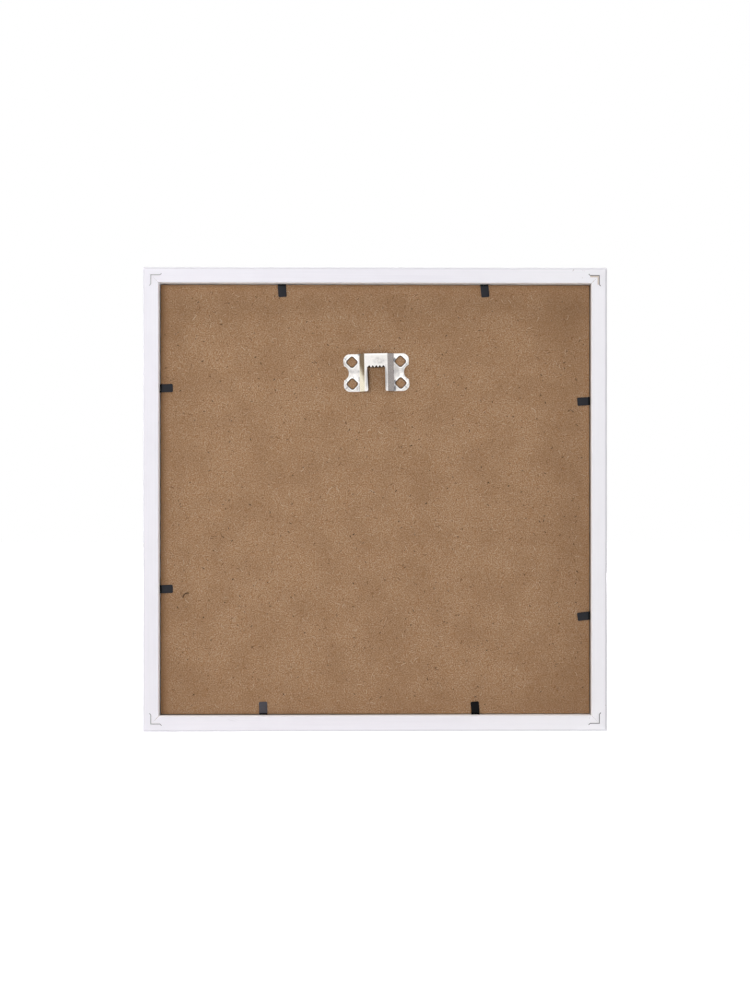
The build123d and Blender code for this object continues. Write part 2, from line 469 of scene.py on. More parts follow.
PLATE_GRIME = (
    # painted shadows beside the foot of the left slope
    Mark(-12.5, 8.3, 3.0, 1.6, 90.0, 0.9),
    Mark(-12.6, -6.6, 3.4, 1.3, 90.0, 0.9),
    Mark(-12.4, -10.8, 4.2, 1.4, 90.0, 0.95),
    # painted shade along the inner edges of the legs
    Mark(6.5, -4.2, 14.0, 1.5, 90.0, 0.6),
    Mark(-6.4, -3.8, 15.0, 1.7, 90.0, 0.5),
    # grime and streaks on the plate
    Mark(11.9, -9.8, 6.0, 0.8, 90.0, 0.55),
    Mark(13.2, -10.6, 3.0, 0.9, 90.0, 0.45),
    Mark(15.6, -3.0, 1.4, 1.0, 40.0, 0.5),
    Mark(11.4, 12.3, 2.0, 1.1, 0.0, 0.8),
    Mark(20.6, 9.2, 3.4, 0.9, -45.0, 0.4),
    Mark(20.2, -10.0, 5.0, 0.9, 45.0, 0.45),
    Mark(20.8, -4.6, 4.0, 0.9, -45.0, 0.35),
    Mark(-20.0, -10.2, 4.0, 0.9, -45.0, 0.4),
    Mark(-20.6, -4.2, 4.0, 0.9, 45.0, 0.4),
    Mark(-20.8, 5.0, 4.0, 0.9, -45.0, 0.3),
)


def marked(graph: Graph, place: Socket, marks: tuple[Mark, ...], fray: Socket,
           level: float = LAYOUT.middle) -> Socket:
    """How much of any of several marks shows at a point.

    Args:
        graph: The material's nodes.
        place: The point.
        marks: The marks.
        fray: Noise that frays their rims.
        level: The height that the marks are measured from.

    Returns:
        The share of the mark's colour.
    """
    spots = []
    for mark in marks:
        size = (mark.length / 2 * MM, mark.width / 2 * MM)
        far = graph.reach(place, size, (mark.across * MM, level + mark.up * MM), mark.turn)
        spots.append(graph.span(graph.total(far, fray), 1.0, 1.8, mark.depth, 0.0))
    return graph.most(*spots)


@dataclass(frozen=True)
class RailFoil:
    """Satin white foil over fibreboard, streaked along the rail, with bare core on every cut."""

    run: Run
    colour: Colour = (0.845, 0.826, 0.880)
    streak: Colour = (0.800, 0.782, 0.840)
    speck: Colour = (0.42, 0.36, 0.32)
    core: Colour = (0.36, 0.235, 0.135)
    core_dark: Colour = (0.23, 0.145, 0.085)
    lifted: Colour = (0.58, 0.46, 0.36)
    fresh: Colour = (0.93, 0.925, 0.945)  # painted light: whiter foil that brightens the rabbet and the left rails
    # painted shade on the outer back edge
    thumbed: Colour = (0.60, 0.585, 0.625)
    dusty: Colour = (0.20, 0.135, 0.095)  # painted shadow low on the wall of the rabbet
    skin: float = 0.3 * MM  # past which a cut is bare
    handled: float = 1.0 * MM  # depth below the back within which its marks and the painted edge shade lie
    wrapped: float = 6.5 * MM  # how far in the foil turns over the edge of a mitre
    nail_inset: float = 5.2 * MM  # outer faces to the point of a V-nail
    nail_leg: float = 6.2 * MM

    def material(self) -> bpy.types.Material:
        """The foil as a material."""
        graph = Graph(f"rail_foil_{self.run.value}")
        streaks = self.streaks(graph)
        clouds = graph.noise(graph.place, 38 * MM, 2.0)
        back = graph.above(graph.y, -self.handled)
        bare = graph.most(self.cuts(graph), graph.product(back, self.mitre_edge(graph)))
        core = graph.mix(graph.noise(graph.place, 0.6 * MM, 3.0, 0.7), self.core_dark, self.core)
        colour = graph.layers(
            self.colour,
            (graph.span(streaks, 0.35, 0.85, 0.0, 0.85), self.streak),
            (graph.span(clouds, 0.4, 0.75, 0.0, 0.3), self.streak),
            # painted light: whiter foil towards the left and in the rabbet
            (graph.span(graph.x, 0.0, -LAYOUT.outer, 0.0, 0.45), self.fresh),
            (self.rabbet(graph), self.fresh),
            # painted shadow at the foot of the rabbet's wall
            (self.wall_foot(graph), self.dusty),
            # painted shade along the outer back edge
            (graph.product(back, self.outer_edge(graph)), self.thumbed),
            (self.specks(graph), self.speck),
            (graph.product(back, self.scuffs(graph)), self.speck),
            (graph.product(back, self.nail_chips(graph)), self.lifted),
            (bare, core),
        )
        rough = graph.scaled(bare, 0.3, graph.span(streaks, 0.2, 0.9, 0.38, 0.52))
        graph.set(Base_Color=colour, Roughness=rough, Specular_IOR_Level=0.25)
        graph.relief(graph.scaled(clouds, 2.0, streaks), 0.012 * MM, 0.5)
        return graph.material

    def streaks(self, graph: Graph) -> Socket:
        """The faint lines that the wrapping of the foil leaves along the rail."""
        long, short = 70 * MM, 0.9 * MM
        size = (long, short, short) if self.run is Run.ACROSS else (short, short, long)
        return graph.noise(graph.pattern(graph.place, size), 1.0, 3.0, 0.6)

    def rabbet(self, graph: Graph) -> Socket:
        """One on the wall of the rabbet and on the back of the lip, where whiter foil is painted as light.
        """
        inside = graph.span(graph.inset, LAYOUT.wall - 0.1 * MM, LAYOUT.wall)
        return graph.product(inside, graph.above(graph.y, LAYOUT.lip - LAYOUT.depth - 0.1 * MM))

    def specks(self, graph: Graph) -> Socket:
        """Dust caught under the foil, a few grains in each square of a hand's breadth."""
        near, own = graph.cells(graph.place, 11 * MM)
        return graph.product(graph.span(near, 0.012, 0.022, 1.0, 0.0), graph.below(own, 0.4), 0.6)

    def scuffs(self, graph: Graph) -> Socket:
        """The handling marks on the backs of the rails."""
        return marked(graph, graph.place, RAIL_MARKS, graph.noise(graph.place, 0.7 * MM, 2.0))

    def cuts(self, graph: Graph) -> Socket:
        """One on every face inside the rail's section: the mitres and the slits that were driven in."""
        front = self.skin - LAYOUT.depth
        wall = graph.product(
            graph.between(graph.inset, self.wrapped, LAYOUT.wall - self.skin),
            graph.between(graph.y, front, -0.12 * MM),
        )
        lip = graph.product(
            graph.between(graph.inset, LAYOUT.wall - self.skin, LAYOUT.face - self.skin),
            graph.between(graph.y, front, LAYOUT.lip - LAYOUT.depth - self.skin),
        )
        return graph.most(wall, lip)

    def mitre_edge(self, graph: Graph) -> Socket:
        """Foil chipped off along the mitres, most at their inner ends and on one pair of corners."""
        off = graph.size(graph.less(graph.size(graph.x), graph.size(graph.up)))
        chips = graph.noise(graph.place, 1.3 * MM, 2.0, 0.6)
        worse = graph.below(graph.product(graph.x, graph.up), 0.0)
        return graph.product(
            graph.span(off, 0.10 * MM, 0.32 * MM, 1.0, 0.0),
            graph.span(graph.inset, 6.5 * MM, 9.6 * MM, 0.0, 0.9),
            graph.scaled(worse, 0.55, 0.1),
            graph.span(chips, 0.3, 0.6, 0.4, 1.0),
        )

    def outer_edge(self, graph: Graph) -> Socket:
        """A painted shade line along the rounded outer back edge, plainest on the left upright."""
        line = graph.band(graph.inset, (0.05 * MM, 0.3 * MM), (1.0 * MM, 1.7 * MM))
        if self.run is Run.ACROSS:
            return graph.product(line, 0.45)
        return graph.product(line, graph.scaled(graph.below(graph.x, 0.0), 0.7, 0.1))

    def wall_foot(self, graph: Graph) -> Socket:
        """Painted shadow along the foot of the rabbet's wall, above the board: on the left and bottom rails
        alone.
        """
        side, top, share = graph.x, 2.9 * MM, 0.75
        if self.run is Run.ACROSS:
            side, top = graph.up, 4.4 * MM
            share = graph.span(graph.x, -120 * MM, 60 * MM, 0.2, 0.8)
        return graph.product(
            graph.between(graph.inset, LAYOUT.wall - 0.05 * MM, LAYOUT.wall + 0.05 * MM),
            graph.below(side, 0.0),
            graph.span(graph.y, -top, -top - 1.2 * MM),
            share,
        )

    def nail_chips(self, graph: Graph) -> Socket:
        """Bare core in the crook of the V-nails, where driving lifted the foil: one corner is worst."""
        point = LAYOUT.outer - self.nail_inset
        inward = graph.less(point, graph.size(graph.x))
        down = graph.less(point, graph.size(graph.up))
        beside = graph.math("MINIMUM", inward, down)
        along = graph.most(inward, down)
        worst = graph.product(graph.below(graph.x, 0.0), graph.above(graph.up, 0.0))
        return graph.product(
            graph.band(beside, (0.24 * MM, 0.36 * MM), (1.1 * MM, 1.4 * MM)),
            graph.span(along, self.nail_leg - 0.4 * MM, self.nail_leg + 0.3 * MM, 1.0, 0.0),
            graph.span(graph.noise(graph.place, 0.8 * MM, 2.0), 0.25, 0.6, 0.55, 1.0),
            graph.scaled(worst, 0.8, 0.08),
        )


@dataclass(frozen=True)
class NailSteel:
    """Bare rolled steel on the V-nails' edges: bright on the right corners, dulled on the left ones."""

    bright: Colour = (0.50, 0.50, 0.51)
    plain: Colour = (0.30, 0.30, 0.305)
    dull: Colour = (0.15, 0.145, 0.145)

    def material(self) -> bpy.types.Material:
        """The steel as a material."""
        graph = Graph("nail_steel")
        rolled = graph.noise(graph.pattern(graph.place, (0.15 * MM, 3 * MM, 0.15 * MM)), 1.0, 3.0, 0.6)
        tarnish = graph.noise(graph.place, 2.2 * MM, 3.0, 0.6)
        colour = graph.layers(
            self.plain,
            (graph.above(graph.up, 0.0), self.bright),
            (graph.below(graph.x, 0.0), self.dull),
            (graph.span(tarnish, 0.4, 0.75, 0.0, 0.5), self.dull),
        )
        graph.set(Base_Color=colour, Metallic=1.0, Roughness=graph.span(rolled, 0.25, 0.8, 0.34, 0.55))
        graph.relief(rolled, 0.01 * MM, 0.6)
        return graph.material


@dataclass(frozen=True)
class PlatePoint:
    """A point on the hanger's own axes, and how far it is from the middle of the nearest hole."""

    place: Socket
    x: Socket
    y: Socket
    z: Socket
    hole: Socket


@dataclass(frozen=True)
class ZincPlate:
    """Bright zinc on stamped steel: rubbed and clouded, with painted highlights, painted shade round its
    holes, grime with painted shadows, and a warm stain with a painted reflection on a slope.

    Its pattern is laid out on the plate's own axes, from the middle of the hanger.
    """

    colour: Colour = (0.925, 0.892, 0.858)
    # Besides the zinc's own clouds, grime and stain, these colours paint shade round the holes and on their
    # edges, highlights on rims and bridge, shadows on the plate and a reflection on the right slope.
    cloud: Colour = (0.63, 0.605, 0.585)
    burnish: Colour = (0.995, 0.97, 0.945)
    grime: Colour = (0.20, 0.20, 0.215)
    burr: Colour = (0.085, 0.062, 0.050)
    stain_dark: Colour = (0.215, 0.158, 0.100)
    stain_pale: Colour = (0.87, 0.80, 0.635)
    middle: Pair = (-0.7 * MM, -4.6 * MM)
    tilt: float = 1.2
    fold_in: float = 7.4 * MM
    fold_out: float = 11.8 * MM
    hole_across: float = 16.4 * MM
    hole_up: float = 7.35 * MM
    hole_half: float = 2.9 * MM
    lip: float = 0.4 * MM  # drawn-in edge of a hole
    sheet: float = 0.8 * MM

    def material(self) -> bpy.types.Material:
        """The plating as a material."""
        graph = Graph("hanger_plate")
        at = self.point(graph)
        rubs = graph.noise(graph.pattern(at.place, (7 * MM, 7 * MM, 0.22 * MM), 12.0), 1.0, 3.0, 0.6)
        clouds = graph.noise(graph.place, 2.6 * MM, 3.0, 0.6)
        flat = graph.less(1.0, graph.between(graph.size(at.x), self.fold_in, self.fold_out))
        worn = graph.most(self.worn_parts(graph, at), 0.25)
        colour = graph.layers(
            self.colour,
            # painted shade round the holes and between them, with clouding of the zinc
            (graph.product(worn, graph.span(clouds, 0.35, 0.7, 0.25, 1.0), flat), self.cloud),
            (graph.product(graph.span(rubs, 0.55, 0.8, 0.0, 0.35), flat), self.cloud),
            # painted highlights
            (self.burnished(graph, at), self.burnish),
            # a warm stain with a painted reflection on the right slope
            (self.stained(graph, at), self.stain(graph, at, clouds)),
            # darker along the feet of the slopes
            (self.dirt(graph, at, clouds), self.grime),
            # grime, with painted shadows and shade
            (marked(graph, at.place, PLATE_GRIME, graph.product(clouds, 0.8), 0.0), self.grime),
            # painted shade on the holes' drawn edges
            (self.drawn_edge(graph, at), self.burr),
        )
        rough = graph.span(graph.total(clouds, rubs), 0.6, 1.4, 0.24, 0.42)
        rough = graph.product(rough, graph.scaled(flat, 0.5, 0.5))
        graph.set(Base_Color=colour, Metallic=1.0, Roughness=rough)
        graph.relief(graph.scaled(clouds, 1.5, rubs), 0.010 * MM, 0.5)
        return graph.material

    def point(self, graph: Graph) -> PlatePoint:
        """Where a point is on the plate. Its hole distance is the same all along a hole's rounded rim."""
        place = graph.pattern(graph.place, (1, 1, 1), self.tilt, (self.middle[0], 0.0, self.middle[1]))
        x, y, z = graph.split(place)
        across = graph.less(graph.size(x), self.hole_across)
        up = graph.less(graph.size(z), self.hole_up)
        scale = 1.0 / (math.sqrt(2.0) * self.hole_half)
        sides = (graph.total(across, up), graph.less(across, up))
        powers = [graph.math("POWER", graph.size(graph.product(side, scale)), 4.0) for side in sides]
        hole = graph.product(graph.math("POWER", graph.total(*powers), 0.25), self.hole_half)
        return PlatePoint(place, x, y, z, hole)

    def worn_parts(self, graph: Graph, at: PlatePoint) -> Socket:
        """Where the zinc is greyed: painted shade round the holes' outer sides and between them, and
        greying low on the bridge.
        """
        far, rim = graph.size(at.x), self.hole_half
        ring = graph.product(
            graph.band(at.hole, (rim + 0.9 * MM, rim + 1.3 * MM), (rim + 1.8 * MM, rim + 2.6 * MM), 0.9),
            graph.span(far, self.hole_across - 1.0 * MM, self.hole_across + 1.5 * MM),
        )
        waist = graph.product(
            graph.span(graph.size(at.z), 2.2 * MM, 4.4 * MM, 0.95, 0.0), graph.above(far, self.fold_out)
        )
        low = graph.reach(at.place, (6.0 * MM, 3.4 * MM), (-2.6 * MM, 7.7 * MM))
        return graph.most(ring, waist, graph.span(low, 0.3, 1.2, 1.0, 0.0))

    def burnished(self, graph: Graph, at: PlatePoint) -> Socket:
        """Painted highlights: a rim round each hole, and the top of the bridge."""
        rim = graph.product(
            graph.above(at.hole, self.hole_half + self.lip),
            graph.span(at.hole, self.hole_half + 0.8 * MM, self.hole_half + 1.2 * MM, 1.0, 0.0),
        )
        bridge = graph.below(graph.size(at.x), self.fold_in)
        return graph.most(rim, graph.product(graph.span(at.z, 11.0 * MM, 11.6 * MM), bridge))

    def stained(self, graph: Graph, at: PlatePoint) -> Socket:
        """How much of the warm stain and painted reflection shows on the right slope, between its two
        folds.
        """
        rise = (self.fold_in + 0.35 * MM, self.fold_in + 0.9 * MM)
        return graph.band(at.x, rise, (self.fold_out - 0.7 * MM, self.fold_out - 0.2 * MM))

    def stain(self, graph: Graph, at: PlatePoint, clouds: Socket) -> Socket:
        """The colour of the warm stain and painted reflection: bronze at the top, darkest beside the
        bridge, and cream at the bottom.
        """
        lean = graph.span(at.x, self.fold_out - 0.6 * MM, self.fold_in + 1.0 * MM, -4.5 * MM, 1.5 * MM)
        fade = graph.total(graph.total(at.z, lean), graph.product(clouds, 4 * MM))
        return graph.mix(graph.span(fade, -5.5 * MM, 5.5 * MM), self.stain_pale, self.stain_dark)

    def dirt(self, graph: Graph, at: PlatePoint, clouds: Socket) -> Socket:
        """Darker along the feet of the two slopes, in patches."""
        off = graph.size(graph.less(graph.size(at.x), self.fold_out))
        line = graph.span(off, 0.12 * MM, 0.42 * MM, 1.0, 0.0)
        return graph.product(line, graph.span(clouds, 0.5, 0.65, 0.0, 0.6))

    def drawn_edge(self, graph: Graph, at: PlatePoint) -> Socket:
        """Painted shade on the drawn-in edges of the holes, below the face of the ears."""
        face = LAYOUT.back_of_board + self.sheet
        within = graph.below(at.hole, self.hole_half + self.lip + 0.15 * MM)
        return graph.product(within, graph.span(at.y, face - 0.01 * MM, face - 0.06 * MM, 0.0, 0.95))


@dataclass(frozen=True)
class Hardboard:
    """Pressed brown wood fibre: fine-grained, flecked dark, with pale and brown fibres lying every way."""

    colour: Colour = (0.354, 0.211, 0.113)
    light: Colour = (0.515, 0.378, 0.268)
    # Besides grain, flecks and a pale cut edge, these colours paint shade towards the sides, shadows of the
    # hanger and round its holes, a highlight on the cut edge and light in the holes.
    dark: Colour = (0.208, 0.108, 0.050)
    brown: Colour = (0.255, 0.098, 0.026)
    # dark bark flecks, and the painted shadow round the hanger's holes
    fleck: Colour = (0.085, 0.048, 0.030)
    rubbed: Colour = (0.020, 0.010, 0.006)  # painted shadow of the hanger on the board
    # pale cut fibre with a painted highlight, along the board's edges
    edge: Colour = (0.47, 0.285, 0.145)
    kept: Colour = (1.16, 1.16, 1.16)  # painted light: how much paler the board is painted in the hanger's holes, against the plate's shade
    pale_turns: tuple[float, ...] = (9.0, 47.0, 83.0, 121.0, 155.0)
    brown_turns: tuple[float, ...] = (28.0, 64.0, 101.0, 139.0, 172.0)
    plating: ZincPlate = field(default_factory=ZincPlate)

    def material(self) -> bpy.types.Material:
        """The board as a material."""
        graph = Graph("hardboard")
        clouds = graph.noise(graph.place, 22 * MM, 4.0, 0.62)
        grain = graph.noise(graph.place, 0.74 * MM, 1.0, 0.5)
        pale = self.fibres(graph, self.pale_turns)
        brown = self.fibres(graph, self.brown_turns)
        colour = graph.layers(
            self.colour,
            (graph.span(grain, 0.50, 0.72, 0.0, 0.72), self.light),
            (graph.span(grain, 0.50, 0.28, 0.0, 0.9), self.dark),
            (graph.product(brown, 0.62), self.brown),
            (graph.product(pale, 0.45), self.light),
            (graph.span(clouds, 0.32, 0.70, 0.0, 0.32), self.dark),
            # painted shade towards the board's sides, and painted shadow along its right and top edges
            (self.aged(graph), self.dark),
            (self.flecks(graph, grain), self.fleck),
            # pale cut edge with a painted highlight, left out where the right rail shades it
            (self.worn_edge(graph, grain), self.edge),
            # painted shadows of the hanger
            (marked(graph, graph.place, NAIL_RUBS, graph.product(grain, 0.5), 0.0), self.rubbed),
        )
        graph.set(
            # painted light and painted shadow in the hanger's holes
            Base_Color=self.in_holes(graph, colour),
            Roughness=graph.span(grain, 0.2, 0.8, 0.62, 0.82),
            Specular_IOR_Level=0.2,
        )
        graph.relief(graph.scaled(pale, 0.6, grain), 0.06 * MM, 0.5)
        return graph.material

    def fibres(self, graph: Graph, turns: tuple[float, ...]) -> Socket:
        """Short pressed-in fibres in several directions, in degrees, broken up so that none is long."""
        threads = []
        for turn in turns:
            lie = graph.pattern(graph.place, (2.6 * MM, 2 * MM, 0.5 * MM), turn)
            threads.append(graph.span(graph.noise(lie, 1.0, 1.0, 0.5, 0.6), 0.64, 0.76))
        return graph.most(*threads)

    def aged(self, graph: Graph) -> Socket:
        """Painted shade on the board: darker towards its sides, where the rails shade the recess, and a
        painted shadow along its right and top edges.
        """
        board, x, up = LAYOUT.board, graph.x, graph.up
        left = graph.span(x, -board, 55 * MM - board, 0.22, 0.0)
        right = graph.span(x, board, board - 30 * MM, 0.08, 0.0)
        right = graph.most(right, graph.span(x, board, board - 8 * MM, 0.72, 0.0))
        top = graph.span(up, board, board - 60 * MM, 0.16, 0.0)
        top = graph.most(top, graph.span(up, board, board - 7 * MM, 0.32, 0.0))
        bottom = graph.span(up, -board, 45 * MM - board, 0.20, 0.0)
        return graph.total(graph.most(left, right), graph.most(top, bottom))

    def flecks(self, graph: Graph, grain: Socket) -> Socket:
        """Dark bits of bark: a scatter of soft ones in two sizes, and the darkest where they were seen."""
        bits = [marked(graph, graph.place, BOARD_FLECKS, grain)]
        for size, radius, share, turn in ((8.5, 0.62, 0.55, 33.0), (4.2, 0.42, 0.4, -48.0)):
            near, own = graph.cells(graph.pattern(graph.place, (1.25, 1.0, 0.8), turn), size * MM)
            bit = graph.span(near, 0.5 * radius / size, 1.3 * radius / size, 1.0, 0.0)
            bits.append(graph.product(bit, graph.span(own, 0.0, share, 1.0, 0.3), graph.below(own, share)))
        return graph.most(*bits)

    def in_holes(self, graph: Graph, colour: Socket) -> Socket:
        """The board's colour in the hanger's holes: painted lighter against the plate's shade, with a
        painted shadow along their rims.
        """
        hole, rim = self.plating.point(graph).hole, self.plating.hole_half
        colour = graph.mix(graph.span(hole, rim - 0.2 * MM, rim - 0.7 * MM), colour, self.kept, "MULTIPLY")
        dust = graph.span(hole, rim - 0.75 * MM, rim - 0.1 * MM, 0.0, 0.42)
        return graph.mix(graph.product(dust, graph.below(hole, rim + 0.3 * MM)), colour, self.fleck)

    def worn_edge(self, graph: Graph, grain: Socket) -> Socket:
        """Pale cut fibre along the board's edges with a painted highlight, left faint along the right edge,
        which the rail shades.
        """
        rub = graph.span(graph.out, LAYOUT.board - 0.8 * MM, LAYOUT.board - 0.3 * MM)
        clean = graph.span(graph.x, LAYOUT.board - 3 * MM, LAYOUT.board, 1.0, 0.1)
        return graph.product(rub, clean, graph.span(grain, 0.25, 0.6, 0.35, 0.9))


@dataclass(frozen=True)
class TabLacquer:
    """Thin black lacquer on spring steel, rubbed through in places, with painted shade where it enters the
    rail.
    """

    wear: Wear
    steel: Colour = (0.30, 0.30, 0.31)
    # painted shade at the root of the tab, and how far from the rail's wall it reaches
    soot: Colour = (0.0012, 0.0012, 0.0013)
    throat: float = 1.3 * MM
    paler: float = 2.1  # how much the grain lightens the lacquer

    def material(self) -> bpy.types.Material:
        """The lacquer as a material."""
        colour, shine, rough = self.wear.value
        graph = Graph(f"tab_lacquer_{self.wear.name.lower()}")
        mouth = LAYOUT.outer - LAYOUT.wall - self.throat
        throat = graph.span(graph.out, mouth - 0.3 * MM, mouth + 0.1 * MM)
        grain = graph.noise(graph.place, 0.35 * MM, 3.0, 0.6)
        rubs = graph.noise(graph.place, 1.6 * MM, 4.0, 0.7)
        shown = graph.layers(
            colour,
            (graph.span(grain, 0.35, 0.75, 0.0, 0.8), tuple(self.paler * part for part in colour)),
            (graph.span(rubs, 0.70, 0.78, 0.0, 0.5), self.steel),
            # painted shade at the root, where the tab enters the rail
            (throat, self.soot),
        )
        uneven = graph.span(grain, 0.2, 0.8, rough - 0.08, rough + 0.1)
        graph.set(Base_Color=shown, Roughness=graph.scaled(throat, 0.4, uneven), Specular_IOR_Level=shine)
        graph.relief(grain, 0.02 * MM, 0.4)
        return graph.material


@dataclass(frozen=True)
class FibreStuff:
    """A loose wood fibre, mottled along its length."""

    strand: Strand
    deeper: float = 0.7  # how dark the mottling is

    def material(self) -> bpy.types.Material:
        """The fibre as a material."""
        graph = Graph(f"fibre_{self.strand.name.lower()}")
        mottle = graph.noise(graph.place, 0.8 * MM, 3.0, 0.6)
        deep = tuple(self.deeper * part for part in self.strand.value)
        graph.set(
            Base_Color=graph.mix(graph.span(mottle, 0.35, 0.7), self.strand.value, deep),
            Roughness=graph.span(mottle, 0.2, 0.8, 0.6, 0.8),
            Specular_IOR_Level=0.3,
        )
        return graph.material


@dataclass(frozen=True)
class ClearGlass:
    """Clear float glass, faintly green, with the last wipe still on it."""

    colour: Colour = (0.988, 0.995, 0.991)
    veil: Colour = (0.996, 0.998, 0.996)  # what each face lets through of the lamps
    bends: float = 1.5

    def material(self) -> bpy.types.Material:
        """The glass as a material, which lets the lamps through to the sheets behind it."""
        graph = Graph("clear_glass")
        wipe = graph.noise(graph.pattern(graph.place, (60 * MM, FLAT, 9 * MM), 35.0), 1.0, 3.0, 0.6, 0.6)
        graph.set(
            Base_Color=self.colour,
            Roughness=graph.span(wipe, 0.45, 0.8, 0.0, 0.035),
            Transmission_Weight=1.0,
            IOR=self.bends,
        )
        shadow = graph.add("ShaderNodeLightPath").outputs["Is Shadow Ray"]
        graph.swap(shadow, graph.node("ShaderNodeBsdfTransparent", self.veil))
        return graph.material


@dataclass(frozen=True)
class MatBoard:
    """Soft white mat board with a laid face and a whiter core on its cut bevel."""

    colour: Colour = (0.83, 0.815, 0.775)
    tooth: Colour = (0.78, 0.76, 0.715)
    core: Colour = (0.91, 0.905, 0.89)

    def material(self) -> bpy.types.Material:
        """The board as a material."""
        graph = Graph("mat_board")
        tooth = graph.noise(graph.place, 0.55 * MM, 3.0, 0.65)
        felt = graph.noise(graph.pattern(graph.place, (5 * MM, FLAT, 1.1 * MM), 8.0), 1.0, 3.0, 0.6)
        colour = graph.layers(
            self.colour,
            (graph.span(tooth, 0.4, 0.8), self.tooth),
            (graph.span(felt, 0.5, 0.8, 0.0, 0.5), self.tooth),
            (graph.below(graph.out, LAYOUT.window - 0.02 * MM), self.core),
        )
        rough = graph.span(tooth, 0.2, 0.8, 0.72, 0.92)
        graph.set(Base_Color=colour, Roughness=rough, Specular_IOR_Level=0.2)
        graph.relief(graph.total(tooth, felt), 0.03 * MM, 0.5)
        return graph.material


@dataclass(frozen=True)
class Pad:
    """One soft pad of a hand that leaves ink: its middle and half sizes in millimetres, and its turn."""

    across: float
    up: float
    half_width: float
    half_height: float
    turn: float = 0.0


# The palm, the four knuckles, four fingers of three pads each, and the thumb
HAND = (
    Pad(-9.5, -13.5, 8.6, 13.0, 16.0),
    Pad(9.6, -13.0, 8.8, 14.0, -9.0),
    Pad(0.4, -19.5, 11.0, 8.0, 0.0),
    Pad(0.6, -1.0, 15.5, 11.0, 0.0),
    Pad(-11.0, 7.5, 6.9, 7.6, 8.0),
    Pad(-2.8, 10.0, 6.5, 7.6, 2.0),
    Pad(5.8, 8.8, 6.5, 7.6, -5.0),
    Pad(13.4, 4.4, 6.1, 7.6, -14.0),
    Pad(-14.3, 22.0, 4.9, 6.4, 9.0),
    Pad(-15.7, 31.2, 4.6, 6.6, 9.0),
    Pad(-17.0, 39.4, 4.7, 6.2, 9.0),
    Pad(-4.0, 25.0, 4.9, 6.8, 2.0),
    Pad(-4.3, 34.8, 4.6, 6.9, 2.0),
    Pad(-4.6, 43.6, 4.8, 6.4, 2.0),
    Pad(6.8, 23.8, 4.8, 6.6, -6.0),
    Pad(7.8, 33.0, 4.5, 6.8, -6.0),
    Pad(8.7, 41.4, 4.6, 6.2, -6.0),
    Pad(16.6, 17.6, 4.3, 5.6, -17.0),
    Pad(18.8, 25.0, 4.1, 5.4, -17.0),
    Pad(20.7, 31.4, 4.1, 5.4, -17.0),
    Pad(-20.2, -3.8, 5.6, 8.0, 42.0),
    Pad(-26.6, 4.4, 5.2, 7.4, 36.0),
)


@dataclass(frozen=True)
class PrintCard:
    """Uncoated white card with the inked prints of two small hands, thumbs to the middle."""

    colour: Colour = (0.90, 0.89, 0.865)
    tooth: Colour = (0.85, 0.835, 0.80)
    ink: Colour = (0.085, 0.135, 0.200)
    thin_ink: Colour = (0.25, 0.315, 0.385)
    apart: float = 37.0 * MM  # middle of the card to the middle of each palm
    lower: float = 10.5 * MM  # middle of the card down to the middles of the palms
    step: float = 1.6 * MM  # how much higher one hand was put down than the other
    splay: float = 7.0  # degrees that the fingers point outwards
    softness: float = 0.16

    def material(self) -> bpy.types.Material:
        """The card and its ink as a material."""
        graph = Graph("print_card")
        tooth = graph.noise(graph.place, 0.5 * MM, 3.0, 0.65)
        blotch = graph.noise(graph.place, 4.5 * MM, 4.0, 0.65)
        ridges = graph.pattern(graph.place, (1.4 * MM, FLAT, 0.32 * MM), 24.0)
        skin = graph.noise(ridges, 1.0, 2.0, 0.5, 1.2)
        paper = graph.mix(graph.span(tooth, 0.4, 0.8), self.colour, self.tooth)
        far = self.hand(graph, blotch)
        printed = graph.span(graph.scaled(tooth, 0.14, far), 1.02, 1.13, 1.0, 0.0)
        rim = graph.span(far, 0.72, 1.0, 0.0, 0.25)
        cover = graph.total(graph.scaled(skin, 0.55, blotch), rim)
        cover = graph.span(cover, 0.52, 0.82, 0.28, 1.0)
        ink = graph.mix(graph.span(blotch, 0.35, 0.7), self.thin_ink, self.ink)
        graph.set(
            Base_Color=graph.mix(graph.product(printed, cover), paper, ink),
            Roughness=graph.span(printed, 0.0, 1.0, 0.85, 0.62),
            Specular_IOR_Level=0.25,
        )
        graph.relief(graph.scaled(printed, 0.5, tooth), 0.02 * MM, 0.5)
        return graph.material

    def hand(self, graph: Graph, blotch: Socket) -> Socket:
        """How far out of the hands' pads a point of the card is, where one is their rim.

        Args:
            graph: The material's nodes.
            blotch: Noise that makes the rims uneven.

        Returns:
            The distance.
        """
        across = graph.less(graph.size(graph.x), self.apart)
        up = graph.scaled(graph.math("SIGN", graph.x), self.step, graph.total(graph.up, self.lower))
        palm = graph.node("ShaderNodeCombineXYZ", across, 0.0, up)
        palm = graph.pattern(palm, (MM, 1.0, MM), self.splay)
        nearest = None
        for pad in HAND:
            size = (pad.half_width, pad.half_height)
            far = graph.reach(palm, size, (pad.across, pad.up), -pad.turn)
            nearest = far if nearest is None else graph.math("SMOOTH_MIN", nearest, far, self.softness)
        return graph.scaled(graph.less(blotch, 0.5), 0.5, nearest)


